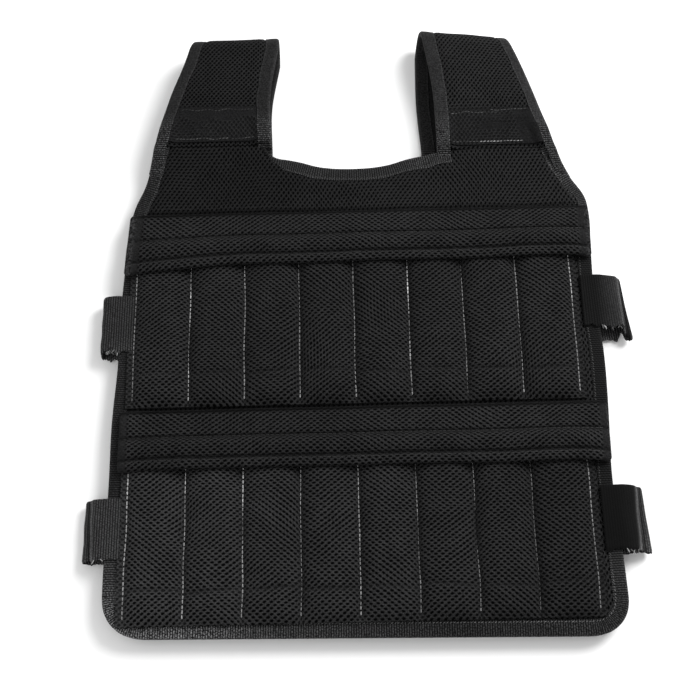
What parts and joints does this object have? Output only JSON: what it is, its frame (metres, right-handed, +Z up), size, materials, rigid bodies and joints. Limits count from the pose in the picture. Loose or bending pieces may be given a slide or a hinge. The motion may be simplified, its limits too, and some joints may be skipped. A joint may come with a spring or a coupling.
{
  "type": "weighted vest",
  "caption": "Padded mesh training vest with sewn weight pockets under flaps, taped edges, folded shoulder straps and webbing side loops, lying on its back.",
  "frame": {"origin": "under the middle of the whole vest, on the surface that it lies on", "axes": "+Y from the hem to the shoulders, +Z up out of the chest side, +X to the right of someone who looks at the chest side with the shoulders up"},
  "size_m": [0.4952, 0.608, 0.038],
  "materials": {
    "spacer_mesh": "black air mesh with small oval holes",
    "binding_tape": "ribbed black binding tape",
    "webbing": "ribbed black webbing with a slight sheen",
    "woven_patch": "smooth black woven cloth"
  },
  "bodies": {
    "root": {"back_panel": "spacer_mesh", "front_panel": "spacer_mesh", "back_edge_tape": "binding_tape", "back_neck_tape": "binding_tape", "front_edge_tape": "binding_tape", "front_neck_tape": "binding_tape", "shoulder_strap_left": "spacer_mesh", "strap_tape_left_outer": "binding_tape", "strap_tape_left_inner": "binding_tape", "shoulder_patch_left": "woven_patch", "shoulder_strap_right": "spacer_mesh", "strap_tape_right_outer": "binding_tape", "strap_tape_right_inner": "binding_tape", "shoulder_patch_right": "woven_patch", "lower_pocket_1": "spacer_mesh", "lower_pocket_2": "spacer_mesh", "lower_pocket_3": "spacer_mesh", "lower_pocket_4": "spacer_mesh", "lower_pocket_5": "spacer_mesh", "lower_pocket_6": "spacer_mesh", "lower_pocket_7": "spacer_mesh", "lower_pocket_8": "spacer_mesh", "lower_flap": "spacer_mesh", "upper_pocket_1": "spacer_mesh", "upper_pocket_2": "spacer_mesh", "upper_pocket_3": "spacer_mesh", "upper_pocket_4": "spacer_mesh", "upper_pocket_5": "spacer_mesh", "upper_pocket_6": "spacer_mesh", "upper_pocket_7": "spacer_mesh", "upper_pocket_8": "spacer_mesh", "upper_flap": "spacer_mesh", "side_loop_left_upper": "webbing", "side_loop_left_lower": "webbing", "side_loop_right_upper": "webbing", "side_loop_right_lower": "webbing"}
  },
  "joints": []
}
